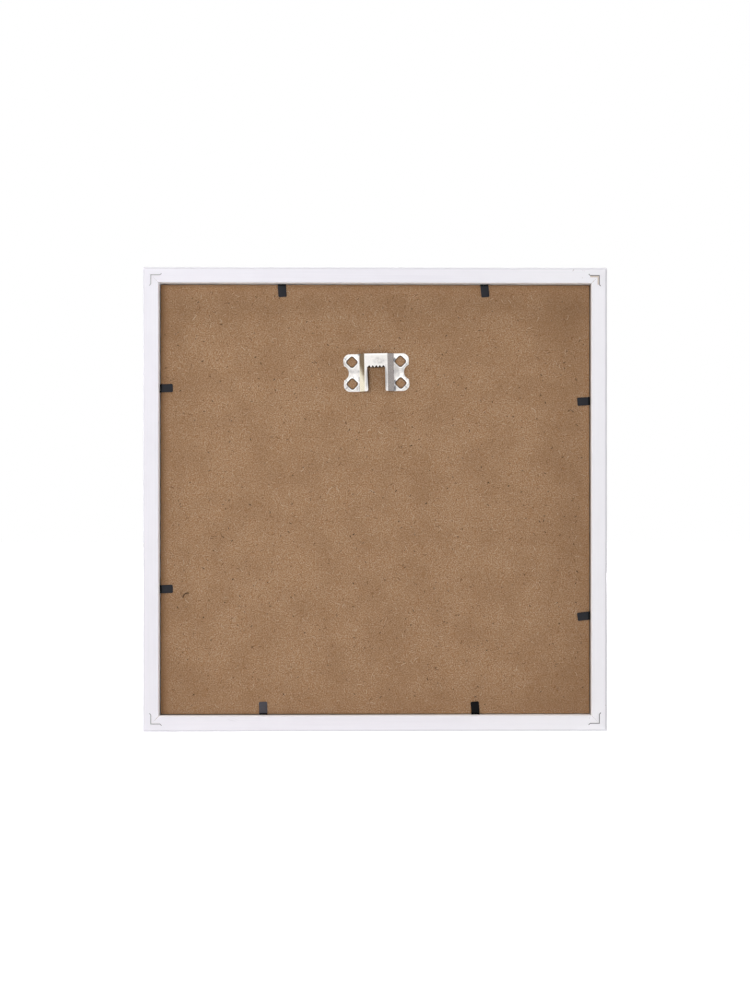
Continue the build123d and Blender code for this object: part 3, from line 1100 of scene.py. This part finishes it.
def made(mesh: bmesh.types.BMesh, name: str, material: bpy.types.Material,
         sharp: float = 32.0) -> bpy.types.Object:
    """Turns a finished mesh into an object at the origin.

    Args:
        mesh: The mesh, which is freed.
        name: The piece's name.
        material: Its finish.
        sharp: Degrees past which an edge stays sharp.

    Returns:
        The new object.
    """
    bmesh.ops.recalc_face_normals(mesh, faces=mesh.faces[:])
    data = bpy.data.meshes.new(name)
    mesh.to_mesh(data)
    mesh.free()
    data.shade_smooth()
    data.set_sharp_from_angle(angle=math.radians(sharp))
    data.materials.append(material)
    piece = bpy.data.objects.new(name, data)
    bpy.context.scene.collection.objects.link(piece)
    return piece


def rounded(mesh: bmesh.types.BMesh, geom: list, reach: float, steps: int, affect: str) -> None:
    """Rounds corners or edges of a mesh.

    Args:
        mesh: The mesh.
        geom: The corners or the edges.
        reach: How far the rounding goes.
        steps: How many flats it is made of.
        affect: VERTICES for corners and EDGES for edges.
    """
    bmesh.ops.bevel(
        mesh,
        geom=geom,
        offset=reach,
        offset_type="OFFSET",
        affect=affect,
        segments=steps,
        profile=0.5,
        material=-1,
    )


def dress(node: str, material: bpy.types.Material) -> None:
    """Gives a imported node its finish.

    Args:
        node: The node's name.
        material: The finish.
    """
    slots = frame["nodes"][node].data.materials
    slots.clear()
    slots.append(material)
    LOG.info("%s dressed in %s", node, material.name)


@dataclass
class RailFrame:
    """The four mitred rails and the V-nails across their corners."""

    across: tuple[str, ...] = ("rail_top", "rail_bottom")
    upright: tuple[str, ...] = ("rail_left", "rail_right")
    nails: str = "corner_v_nails"

    def build(self) -> None:
        """Dresses the rails and the nails."""
        for nodes, run in ((self.across, Run.ACROSS), (self.upright, Run.UPRIGHT)):
            foil = RailFoil(run).material()
            for node in nodes:
                dress(node, foil)
        dress(self.nails, NailSteel().material())


@dataclass(frozen=True)
class FibreLay:
    """A loose fibre on the back board: its ends, from the middle of the frame, its bow and thickness.

    The bow is how far the fibre's middle stands off the straight line, as a share of that line.
    """

    strand: Strand
    start: Pair
    end: Pair
    bow: float
    thick: float


def seen_fibre(strand: Strand, start: Pair, end: Pair, bow: float, thick: float) -> FibreLay:
    """A fibre whose ends and thickness are given in millimetres."""
    ends = [(across * MM, up * MM) for across, up in (start, end)]
    return FibreLay(strand, *ends, bow, thick * MM)


SEEN_FIBRES = (
    seen_fibre(Strand.DARK, (130.1, -66.5), (126.1, -63.4), 0.24, 0.75),
    seen_fibre(Strand.PALE, (26.5, 8.0), (24.4, 5.3), 0.03, 0.42),
    seen_fibre(Strand.PALE, (31.5, 6.6), (29.2, 8.5), -0.05, 0.42),
    seen_fibre(Strand.PALE, (4.0, 6.8), (-0.3, 3.6), 0.06, 0.34),
    seen_fibre(Strand.PALE, (5.8, 45.8), (3.2, 47.5), 0.05, 0.4),
    seen_fibre(Strand.PALE, (-2.1, 46.4), (-5.1, 44.5), -0.16, 0.4),
    seen_fibre(Strand.PALE, (50.6, 19.2), (48.2, 22.0), -0.2, 0.4),
    seen_fibre(Strand.PALE, (123.5, 121.2), (120.9, 124.4), 0.02, 0.42),
    seen_fibre(Strand.PALE, (90.6, 103.0), (88.3, 100.8), 0.08, 0.38),
    seen_fibre(Strand.PALE, (128.6, -68.0), (126.3, -70.1), 0.05, 0.38),
    seen_fibre(Strand.PALE, (-105.4, 62.1), (-108.9, 59.1), 0.14, 0.4),
)


@dataclass(frozen=True)
class Strewing:
    """How many fibres of one kind are strewn over the board, and the least and most of their sizes."""

    strand: Strand
    count: int
    length: Pair
    thick: Pair


@dataclass
class BackPanel:
    """The hardboard back and the loose fibres that stand out on it."""

    node: str = "back_board"
    strewn: tuple[Strewing, ...] = (
        Strewing(Strand.PALE, 460, (1.0 * MM, 3.6 * MM), (0.14 * MM, 0.30 * MM)),
        Strewing(Strand.BROWN, 520, (0.9 * MM, 2.8 * MM), (0.18 * MM, 0.40 * MM)),
        Strewing(Strand.DARK, 300, (0.5 * MM, 1.7 * MM), (0.26 * MM, 0.56 * MM)),
    )
    bow: float = 0.2
    margin: float = 5.0 * MM
    clear: float = 1.0 * MM  # kept free round the hanger
    seed: int = 41
    sides: int = 5
    sunk: float = 0.38  # share of a fibre's thickness that is pressed into the board
    bunch: int = 40  # fibres made at a time, because each step on a large mesh is slow
    sharp: float = 60.0  # degrees past which an edge of a fibre stays sharp
    arc_step: float = 9.0  # degrees of an arc to one length of fibre
    fewest: int = 4  # lengths that a fibre is made of
    least_rise: float = 1e-6  # so that a straight fibre still has an arc

    def build(self) -> None:
        """Dresses the board and lays the fibres on it."""
        dress(self.node, Hardboard().material())
        draw = random.Random(self.seed)
        for strewing in self.strewn:
            seen = [fibre for fibre in SEEN_FIBRES if fibre.strand is strewing.strand]
            self.lay(seen + self.scattered(strewing, draw), strewing.strand)

    def scattered(self, strewing: Strewing, draw: random.Random) -> list[FibreLay]:
        """Short fibres strewn over the whole board, but not under the hanger, the same on every run.

        Args:
            strewing: Their kind, number and sizes.
            draw: Where the chances come from.

        Returns:
            Where the fibres lie.
        """
        reach = LAYOUT.board - self.margin
        low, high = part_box("sawtooth_hanger")
        lays = []
        while len(lays) < strewing.count:
            x, up = draw.uniform(-reach, reach), draw.uniform(-reach, reach)
            length, turn = draw.uniform(*strewing.length), draw.uniform(0.0, math.tau)
            bow, thick = draw.uniform(-self.bow, self.bow), draw.uniform(*strewing.thick)
            room = length + self.clear
            z = LAYOUT.middle + up
            if low.x - room < x < high.x + room and low.z - room < z < high.z + room:
                continue
            end = (x + length * math.cos(turn), up + length * math.sin(turn))
            lays.append(FibreLay(strewing.strand, (x, up), end, bow, thick))
        return lays

    def lay(self, fibres: list[FibreLay], strand: Strand) -> None:
        """Makes the fibres of one kind as a piece.

        Args:
            fibres: Where they lie.
            strand: Their kind.
        """
        mesh = bmesh.new()
        for first in range(0, len(fibres), self.bunch):
            few = bmesh.new()
            for fibre in fibres[first:first + self.bunch]:
                self.bent(few, fibre)
            bundle = bpy.data.meshes.new("bundle")
            few.to_mesh(bundle)
            few.free()
            mesh.from_mesh(bundle)
            bpy.data.meshes.remove(bundle)
        stuff = FibreStuff(strand).material()
        piece = made(mesh, f"board_fibres_{strand.name.lower()}", stuff, self.sharp)
        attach(piece, "frame")
        LOG.info("%s: %d fibres", piece.name, len(fibres))

    def bent(self, mesh: bmesh.types.BMesh, fibre: FibreLay) -> None:
        """Adds one fibre: a small ring swept along an arc, closed at its ends.

        Args:
            mesh: The mesh to add it to.
            fibre: Its place and shape.
        """
        level = LAYOUT.back_of_board + fibre.thick * (0.5 - self.sunk)
        start = Vector((fibre.start[0], level, LAYOUT.middle + fibre.start[1]))
        end = Vector((fibre.end[0], level, LAYOUT.middle + fibre.end[1]))
        chord = end - start
        rise = abs(fibre.bow) * chord.length + self.least_rise
        radius = (chord.length**2 / 4 + rise**2) / (2 * rise)
        side = Vector((chord.z, 0.0, -chord.x)).normalized() * math.copysign(1.0, fibre.bow)
        hub = (start + end) / 2 - side * (radius - rise)
        arc = 2 * math.asin(min(1.0, chord.length / (2 * radius)))
        spoke = (start - hub).normalized()
        axis = Vector((0.0, 1.0, 0.0))
        ahead = spoke.cross(axis)
        turn = Matrix((spoke, axis, ahead)).transposed().to_4x4()
        ring = bmesh.ops.create_circle(
            mesh,
            segments=self.sides,
            radius=fibre.thick / 2,
            cap_ends=True,
            matrix=Matrix.Translation(hub) @ turn @ Matrix.Translation((radius, 0, 0)),
        )
        rim = ring["verts"]
        faces = {face for vert in rim for face in vert.link_faces}
        edges = {edge for vert in rim for edge in vert.link_edges}
        bmesh.ops.spin(
            mesh,
            geom=[*rim, *edges, *faces],
            cent=hub,
            axis=axis,
            angle=-math.copysign(arc, ahead.dot(chord)),
            steps=max(self.fewest, math.ceil(math.degrees(arc) / self.arc_step)),
        )


@dataclass
class Hanger:
    """The stamped sawtooth hanger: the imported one, with what the press made rounder and deeper.

    Its shape is worked on the plate's own axes, from the middle of the hanger.
    """

    node: str = "sawtooth_hanger"
    plating: ZincPlate = field(default_factory=ZincPlate)
    half_width: float = 22.2 * MM
    half_height: float = 12.7 * MM
    corner: float = 3.7 * MM  # radius of the ears' corners as packed
    rounder: float = 4.4 * MM  # and as stamped
    bite: float = 3.6 * MM  # depth of the scallops in the ends
    scallop: float = 4.4 * MM  # radius of the scallops as packed
    wider: float = 5.2 * MM  # and as stamped
    blunt: float = 0.32 * MM  # worn off the two corners at the mouth of a scallop
    opening: float = 5.95 * MM  # half the width of the nail opening
    leg: float = 1.45 * MM
    lean: float = 0.034  # slope of the inner edge of the right leg
    upright: float = -6.5 * MM  # the height at which that edge keeps its place
    notch_top: float = 4.6 * MM
    deeper: float = 0.25 * MM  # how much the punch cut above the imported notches
    near: float = 0.02 * MM  # how close a point is to an edge that it lies on
    weld: float = 1e-6  # how close two points are that are one
    shares: int = 5  # of half a scallop's arc, the last of which is blunted

    def build(self) -> None:
        """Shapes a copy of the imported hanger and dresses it."""
        mesh = bmesh.new()
        mesh.from_mesh(frame["nodes"][self.node].data)
        bmesh.ops.remove_doubles(mesh, verts=mesh.verts[:], dist=self.weld)
        across, up = self.plating.middle
        tilt = Matrix.Rotation(math.radians(self.plating.tilt), 4, "Y")
        home = Matrix.Translation((across, 0.0, up)) @ tilt
        bmesh.ops.transform(mesh, matrix=home.inverted(), verts=mesh.verts[:])
        for vert in mesh.verts:
            self.round_corner(vert.co)
            self.widen_scallop(vert.co)
            self.lean_leg(vert.co)
            self.deepen_notch(vert.co)
        bmesh.ops.transform(mesh, matrix=home, verts=mesh.verts[:])
        piece = made(mesh, "hanger_plate", self.plating.material())
        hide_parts(self.node)
        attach(piece, "frame")
        LOG.info("%s: %d faces", piece.name, len(piece.data.polygons))

    def round_corner(self, point: Vector) -> None:
        """Moves a point on the arc of an ear's corner out to the rounder arc."""
        out = abs(point.x) - self.half_width + self.corner
        up = abs(point.z) - self.half_height + self.corner
        off = Vector((out, up))
        if min(off) < -self.near or abs(off.length - self.corner) > self.near:
            return
        off *= self.rounder / self.corner
        point.x = math.copysign(self.half_width - self.rounder + off.x, point.x)
        point.z = math.copysign(self.half_height - self.rounder + off.y, point.z)

    def widen_scallop(self, point: Vector) -> None:
        """Moves a point on the arc of an end's scallop to the wider arc."""
        beyond = self.half_width - self.bite + self.scallop
        off = Vector((beyond - abs(point.x), point.z))
        if abs(off.length - self.scallop) > self.near or abs(point.x) > self.half_width + self.near:
            return
        mouth = math.acos(1 - self.bite / self.scallop)
        wide_mouth = math.acos(1 - self.bite / self.wider)
        turn = math.atan2(off.y, off.x) * wide_mouth / mouth
        inward = self.half_width - self.bite + self.wider * (1 - math.cos(turn))
        corner = max(0.0, self.shares * abs(turn) / wide_mouth - (self.shares - 1))
        point.x = math.copysign(inward - self.blunt * corner**2, point.x)
        point.z = self.wider * math.sin(turn)

    def lean_leg(self, point: Vector) -> None:
        """Leans the inner edge of the right leg, which the press left wider at its foot."""
        share = 1 - (point.x - self.opening) / self.leg
        if point.z < self.notch_top - self.near and 0.0 < share < 1.0 + self.near / self.leg:
            point.x += self.lean * (point.z - self.upright) * share

    def deepen_notch(self, point: Vector) -> None:
        """Raises the top of a notch."""
        if abs(point.z - self.notch_top) < self.near and abs(point.x) < self.opening:
            point.z += self.deeper


@dataclass
class TabSet:
    """The eight flat tabs, each one strip of spring steel that bends where it leaves the rail."""

    width: float = 5.6 * MM
    thick: float = 0.4 * MM
    tip: float = -8.0 * MM  # from the bend line, along the tab
    shoulder: float = 5.8 * MM
    point: float = 7.8 * MM
    nose: float = 0.12  # share of the width that is left at the driven point
    tip_round: float = 0.9 * MM
    tip_steps: int = 6
    eased: float = 0.06 * MM
    edge_steps: int = 2
    edge_angle: float = 60.0  # degrees past which an edge is eased
    near: float = 1e-7  # how close a point is to a level that it lies on
    bend_half: float = 0.6 * MM
    bend_cuts: int = 9
    # painted light and shade: one bottom tab as if catching more light, the other as if in shade
    wear: dict[str, Wear] = field(
        default_factory=lambda: {"tab_bottom_right": Wear.GREYED, "tab_bottom_left": Wear.JET}
    )

    def build(self) -> None:
        """Makes the strips, one at each joint."""
        lacquers = {wear: TabLacquer(wear).material() for wear in Wear}
        for joint in frame["joints"]:
            tab = joint["child"]
            self.strip(tab, joint, lacquers[self.wear.get(tab, Wear.CHARCOAL)])

    def strip(self, tab: str, joint: dict, lacquer: bpy.types.Material) -> None:
        """Makes one tab.

        Args:
            tab: The name of its body.
            joint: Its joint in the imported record.
            lacquer: Its finish.
        """
        bend = Vector(joint["axis"]).normalized()
        out = Vector((0.0, 1.0, 0.0))
        wall = bend.cross(out)
        pivot = Vector(joint["pos_m"])
        mesh = self.flat_strip()
        turn = Matrix((bend, out, wall)).transposed().to_4x4()
        bmesh.ops.transform(mesh, matrix=Matrix.Translation(pivot) @ turn, verts=mesh.verts[:])
        piece = made(mesh, f"{tab}_strip", lacquer)
        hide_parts(f"{tab}_root", f"{tab}_blade")
        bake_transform(piece)
        LOG.info("%s bends between the frame and %s", piece.name, tab)

    def flat_strip(self) -> bmesh.types.BMesh:
        """A strip with its bend line on X, its tip along -Z and its driven point along +Z.

        Returns:
            The mesh of the strip.
        """
        mesh = bmesh.new()
        bmesh.ops.create_grid(mesh, x_segments=1, y_segments=1, size=0.5)
        length = self.shoulder - self.tip
        bmesh.ops.scale(mesh, vec=(self.width, length, 1.0), verts=mesh.verts[:])
        bmesh.ops.rotate(mesh, matrix=Matrix.Rotation(math.radians(90), 3, "X"), verts=mesh.verts[:])
        bmesh.ops.translate(mesh, vec=(0, 0, (self.shoulder + self.tip) / 2), verts=mesh.verts[:])
        high = max(vert.co.z for vert in mesh.verts)
        root = [edge for edge in mesh.edges if all(abs(v.co.z - high) < self.near for v in edge.verts)]
        grown = bmesh.ops.extrude_edge_only(mesh, edges=root)
        nose = [item for item in grown["geom"] if isinstance(item, bmesh.types.BMVert)]
        bmesh.ops.translate(mesh, vec=(0, 0, self.point - self.shoulder), verts=nose)
        bmesh.ops.scale(mesh, vec=(self.nose, 1, 1), verts=nose)
        corners = [vert for vert in mesh.verts if vert.co.z < self.tip + self.near]
        rounded(mesh, corners, self.tip_round, self.tip_steps, "VERTICES")
        bmesh.ops.recalc_face_normals(mesh, faces=mesh.faces[:])
        bmesh.ops.solidify(mesh, geom=mesh.faces[:], thickness=self.thick)
        low = min(vert.co.y for vert in mesh.verts)
        bmesh.ops.translate(mesh, vec=(0, -low - self.thick / 2, 0), verts=mesh.verts[:])
        least = math.radians(self.edge_angle)
        rims = [edge for edge in mesh.edges if edge.calc_face_angle(0.0) > least]
        rounded(mesh, rims, self.eased, self.edge_steps, "EDGES")
        for cut in range(self.bend_cuts):
            at = self.bend_half * (2 * cut / (self.bend_cuts - 1) - 1)
            geom = mesh.verts[:] + mesh.edges[:] + mesh.faces[:]
            bmesh.ops.bisect_plane(mesh, geom=geom, plane_co=(0, 0, at), plane_no=(0, 0, 1))
        return mesh


@dataclass
class FrontStack:
    """What shows through the front: the glass, the window mat and the card with the prints."""

    glass: str = "glazing"
    mat: str = "mat"
    card: str = "print_card"
    air: float = 0.04 * MM  # between the glass and what it rests on
    arris: float = 0.3 * MM
    arris_steps: int = 2
    flat: float = 10.0  # degrees, so that the arrises don't bend the light on the faces beside them

    def build(self) -> None:
        """Cuts the glass and dresses the sheets."""
        self.pane()
        dress(self.mat, MatBoard().material())
        dress(self.card, PrintCard().material())

    def pane(self) -> None:
        """The glass, its cut edges arrised, with a breath of air before the mat."""
        low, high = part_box(self.glass)
        air = Vector((self.air, self.air, self.air))
        size = high - low - 2.0 * air
        mesh = bmesh.new()
        cut = Matrix.Translation((low + high) / 2.0) @ Matrix.Diagonal((*size, 1.0))
        bmesh.ops.create_cube(mesh, size=1.0, matrix=cut)
        rounded(mesh, mesh.edges[:], self.arris, self.arris_steps, "EDGES")
        piece = made(mesh, "glass_pane", ClearGlass().material(), self.flat)
        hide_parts(self.glass)
        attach(piece, "frame")
        LOG.info("glass_pane cut, %.1f mm thick", size.y / MM)


@dataclass(frozen=True)
class Lamp:
    """A soft lamp, placed from the middle of the frame and aimed at it."""

    name: str
    place: Point
    width: float
    height: float
    watts: float
    colour: Colour = WHITE

    def hang(self, aim: Vector) -> None:
        """Puts the lamp up, out of sight of the camera, of mirrors and of glass.

        Args:
            aim: The point that it shines at.
        """
        data = bpy.data.lights.new(self.name, "AREA")
        data.shape = "RECTANGLE"
        data.size = self.width
        data.size_y = self.height
        data.energy = self.watts
        data.color = self.colour
        lamp = bpy.data.objects.new(self.name, data)
        lamp.location = aim + Vector(self.place)
        lamp.rotation_mode = "QUATERNION"
        lamp.rotation_quaternion = (-Vector(self.place)).to_track_quat("-Z", "Y")
        lamp.visible_camera = False
        lamp.visible_glossy = False
        lamp.visible_transmission = False
        bpy.context.scene.collection.objects.link(lamp)


@dataclass
class Studio:
    """The pale floor, the soft room, its lamps and the camera of the photograph."""

    photo_height: float = 0.6721  # of the picture, measured on the backs of the rails
    distance: float = 0.9  # camera to the backs of the rails
    aside: float = 9.1 * MM  # camera beside the middle of the frame
    aim_aside: float = 0.3 * MM  # the point that it looks at, beside the middle
    drop: float = 0.4 * MM  # camera below the middle of the frame
    sensor: float = 36.0
    clip: float = 0.01  # nearest that the camera sees, in metres
    ambient: float = 0.03  # strength of the room's own light
    room_colour: Colour = (1.0, 0.985, 0.985)
    # the mirrored room, by how far along X it is, from its grey side at nought to the other at one
    mirrored: tuple[tuple[float, Colour], ...] = ((0.15, (0.350, 0.328, 0.326)), (0.30, WHITE))
    floor_reach: float = 4.0
    floor_colour: Colour = (0.82, 0.82, 0.82)
    floor_glow: float = 0.10
    seen_near: float = 0.45  # more glow where the floor is seen or mirrored, close to the frame
    seen_far: float = 0.95  # and far from it, where the lamps reach less
    near: float = 0.4  # how far off that is, in metres
    far: float = 2.0
    lamps: tuple[Lamp, ...] = (
        Lamp("key_lamp", (0.62, 1.50, 0.56), 1.0, 0.6, 13.4),
        Lamp("left_rim_lamp", (2.06, 0.36, 0.10), 1.0, 0.7, 17.0),
        Lamp("right_rim_lamp", (-2.06, 0.36, 0.10), 1.0, 0.7, 16.0),
        Lamp("top_rim_lamp", (0.0, 0.34, 2.06), 1.0, 0.7, 26.0),
        Lamp("front_left_lamp", (-0.40, -1.90, 0.35), 1.0, 1.0, 11.5),
        Lamp("front_right_lamp", (0.40, -1.90, 0.35), 1.0, 1.0, 11.5),
    )

    def build(self) -> None:
        """Sets the stage."""
        bpy.context.scene.view_settings.view_transform = "Standard"
        middle = Vector((0.0, 0.0, LAYOUT.middle))
        self.room()
        self.floor()
        for lamp in self.lamps:
            lamp.hang(middle)
        self.camera(middle)

    def room(self) -> None:
        """A white room for what is seen or mirrored, and softer light for the rest, with one grey side."""
        world = bpy.data.worlds.new("soft_room")
        bpy.context.scene.world = world
        world.use_nodes = True
        world.node_tree.nodes.clear()
        nodes = Nodes(world.node_tree)
        output = nodes.add("ShaderNodeOutputWorld")
        path = nodes.add("ShaderNodeLightPath").outputs
        seen = nodes.most(path["Is Camera Ray"], path["Is Transmission Ray"])
        straight = nodes.below(path["Diffuse Depth"], DIRECT)
        way = nodes.split(nodes.add("ShaderNodeTexCoord").outputs["Generated"])[0]
        side = nodes.add("ShaderNodeValToRGB")
        side.color_ramp.interpolation = "EASE"
        for stop, (position, colour) in zip(side.color_ramp.elements, self.mirrored):
            stop.position = position
            stop.color = (*colour, 1.0)
        nodes.feed(side.inputs[0], nodes.scaled(way, 0.5, 0.5))
        soft = nodes.node("ShaderNodeBackground", self.room_colour, self.ambient)
        mirrored = nodes.node("ShaderNodeBackground", side.outputs[0], 1.0)
        white = nodes.node("ShaderNodeBackground", WHITE, 1.0)
        lit = nodes.switch(path["Is Glossy Ray"], soft, mirrored)
        shown = nodes.switch(nodes.product(seen, straight), lit, white)
        nodes.feed(output.inputs["Surface"], shown)

    def floor(self) -> None:
        """A wide pale floor that the frame stands on, white to the eye but for the frame's shadow."""
        graph = Graph("pale_floor")
        path = graph.add("ShaderNodeLightPath").outputs
        seen = graph.most(path["Is Camera Ray"], path["Is Glossy Ray"], path["Is Transmission Ray"])
        straight = graph.below(path["Diffuse Depth"], DIRECT)
        glow = graph.span(graph.length(graph.place), self.near, self.far, self.seen_near, self.seen_far)
        graph.set(
            Base_Color=self.floor_colour,
            Roughness=0.9,
            Specular_IOR_Level=0.0,
            Emission_Color=WHITE,
            Emission_Strength=graph.scaled(graph.product(seen, straight), glow, self.floor_glow),
        )
        in_front = graph.below(graph.y, 0.0)
        mirrored = graph.node("ShaderNodeEmission")
        graph.swap(graph.product(path["Is Glossy Ray"], straight, in_front), mirrored)
        mesh = bmesh.new()
        bmesh.ops.create_grid(mesh, x_segments=8, y_segments=8, size=self.floor_reach)
        bmesh.ops.translate(mesh, vec=(0, 0, CAD_BOX[0].z), verts=mesh.verts[:])
        floor = made(mesh, "pale_floor", graph.material)

    def camera(self, middle: Vector) -> None:
        """Stands the camera almost square to the back of the frame, a little to one side.

        Args:
            middle: The middle of the frame.
        """
        data = bpy.data.cameras.new("photo_camera")
        data.sensor_width = self.sensor
        data.lens = self.sensor * self.distance / self.photo_height
        data.clip_start = self.clip
        camera = bpy.data.objects.new("photo_camera", data)
        place = Vector((self.aside, self.distance, 0.0))
        camera.location = middle + place + Vector((0.0, 0.0, -self.drop))
        camera.rotation_mode = "QUATERNION"
        sight = Vector((self.aim_aside, 0.0, 0.0)) - place
        camera.rotation_quaternion = sight.to_track_quat("-Z", "Y")
        bpy.context.scene.collection.objects.link(camera)
        bpy.context.scene.camera = camera


def main() -> None:
    """Builds the dressed frame and its stage."""
    logging.basicConfig(level=logging.INFO, format="%(message)s")
    for part in (RailFrame(), BackPanel(), Hanger(), TabSet(), FrontStack(), Studio()):
        part.build()
        LOG.info("%s done", type(part).__name__)


if __name__ == "__main__":
    main()
